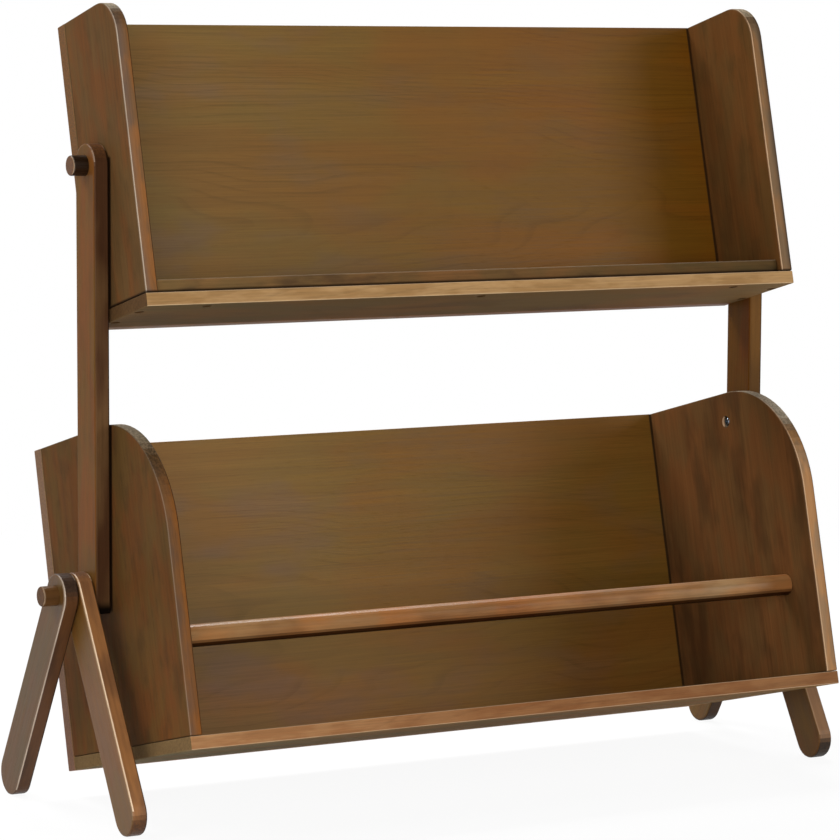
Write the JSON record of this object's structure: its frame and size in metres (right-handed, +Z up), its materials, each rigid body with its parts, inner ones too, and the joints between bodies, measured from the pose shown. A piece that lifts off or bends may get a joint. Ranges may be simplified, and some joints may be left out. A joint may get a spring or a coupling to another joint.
{
  "type": "book rack",
  "caption": "Freestanding two-tier book rack with two slanted wooden troughs hung between posts on splayed legs.",
  "frame": {"origin": "on the floor, under the middle of the rack's bounding box", "axes": "+X to the viewer's right along the troughs, +Y from the open front to the back, +Z up"},
  "size_m": [1.0016, 0.4048, 0.8955],
  "materials": {
    "board": "olive-brown walnut stain, satin lacquer",
    "side": "red-brown walnut stain, satin lacquer",
    "bar": "walnut stain, satin lacquer",
    "peg": "dark walnut stain, satin lacquer",
    "rail": "walnut stain, satin lacquer",
    "dowel": "bare beech",
    "screw": "black zinc",
    "washer": "dark fibre"
  },
  "bodies": {
    "root": {"front_leg_left": "bar", "front_leg_right": "bar", "leg_pin_left": "screw", "leg_pin_right": "screw", "leg_washer_left": "washer", "leg_washer_right": "washer", "lip_screw_left": "screw", "lip_screw_middle": "screw", "lip_screw_right": "screw", "lower_back_panel": "board", "lower_back_screw_left_high": "screw", "lower_back_screw_left_low": "screw", "lower_back_screw_right_high": "screw", "lower_back_screw_right_low": "screw", "lower_bottom_panel": "board", "lower_bottom_screw_left_front": "screw", "lower_bottom_screw_left_rear": "screw", "lower_bottom_screw_right_front": "screw", "lower_bottom_screw_right_rear": "screw", "lower_edge_screw_left": "screw", "lower_edge_screw_middle": "screw", "lower_edge_screw_right": "screw", "lower_peg_left": "peg", "lower_peg_right": "peg", "lower_rail": "rail", "lower_side_left": "side", "lower_side_right": "side", "lower_washer_left": "washer", "lower_washer_right": "washer", "post_bolt_left": "screw", "post_bolt_right": "screw", "post_left": "bar", "post_right": "bar", "post_washer_left": "washer", "post_washer_right": "washer", "rear_leg_left": "bar", "rear_leg_right": "bar", "upper_back_panel": "board", "upper_back_screw_left_high": "screw", "upper_back_screw_left_low": "screw", "upper_back_screw_right_high": "screw", "upper_back_screw_right_low": "screw", "upper_bottom_panel": "board", "upper_bottom_screw_left_front": "screw", "upper_bottom_screw_left_rear": "screw", "upper_bottom_screw_right_front": "screw", "upper_bottom_screw_right_rear": "screw", "upper_dowel_left": "dowel", "upper_dowel_right": "dowel", "upper_edge_screw_left": "screw", "upper_edge_screw_middle": "screw", "upper_edge_screw_right": "screw", "upper_lip": "side", "upper_peg_left": "peg", "upper_peg_right": "peg", "upper_side_left": "side", "upper_side_right": "side", "upper_washer_left": "washer", "upper_washer_right": "washer"}
  },
  "joints": []
}
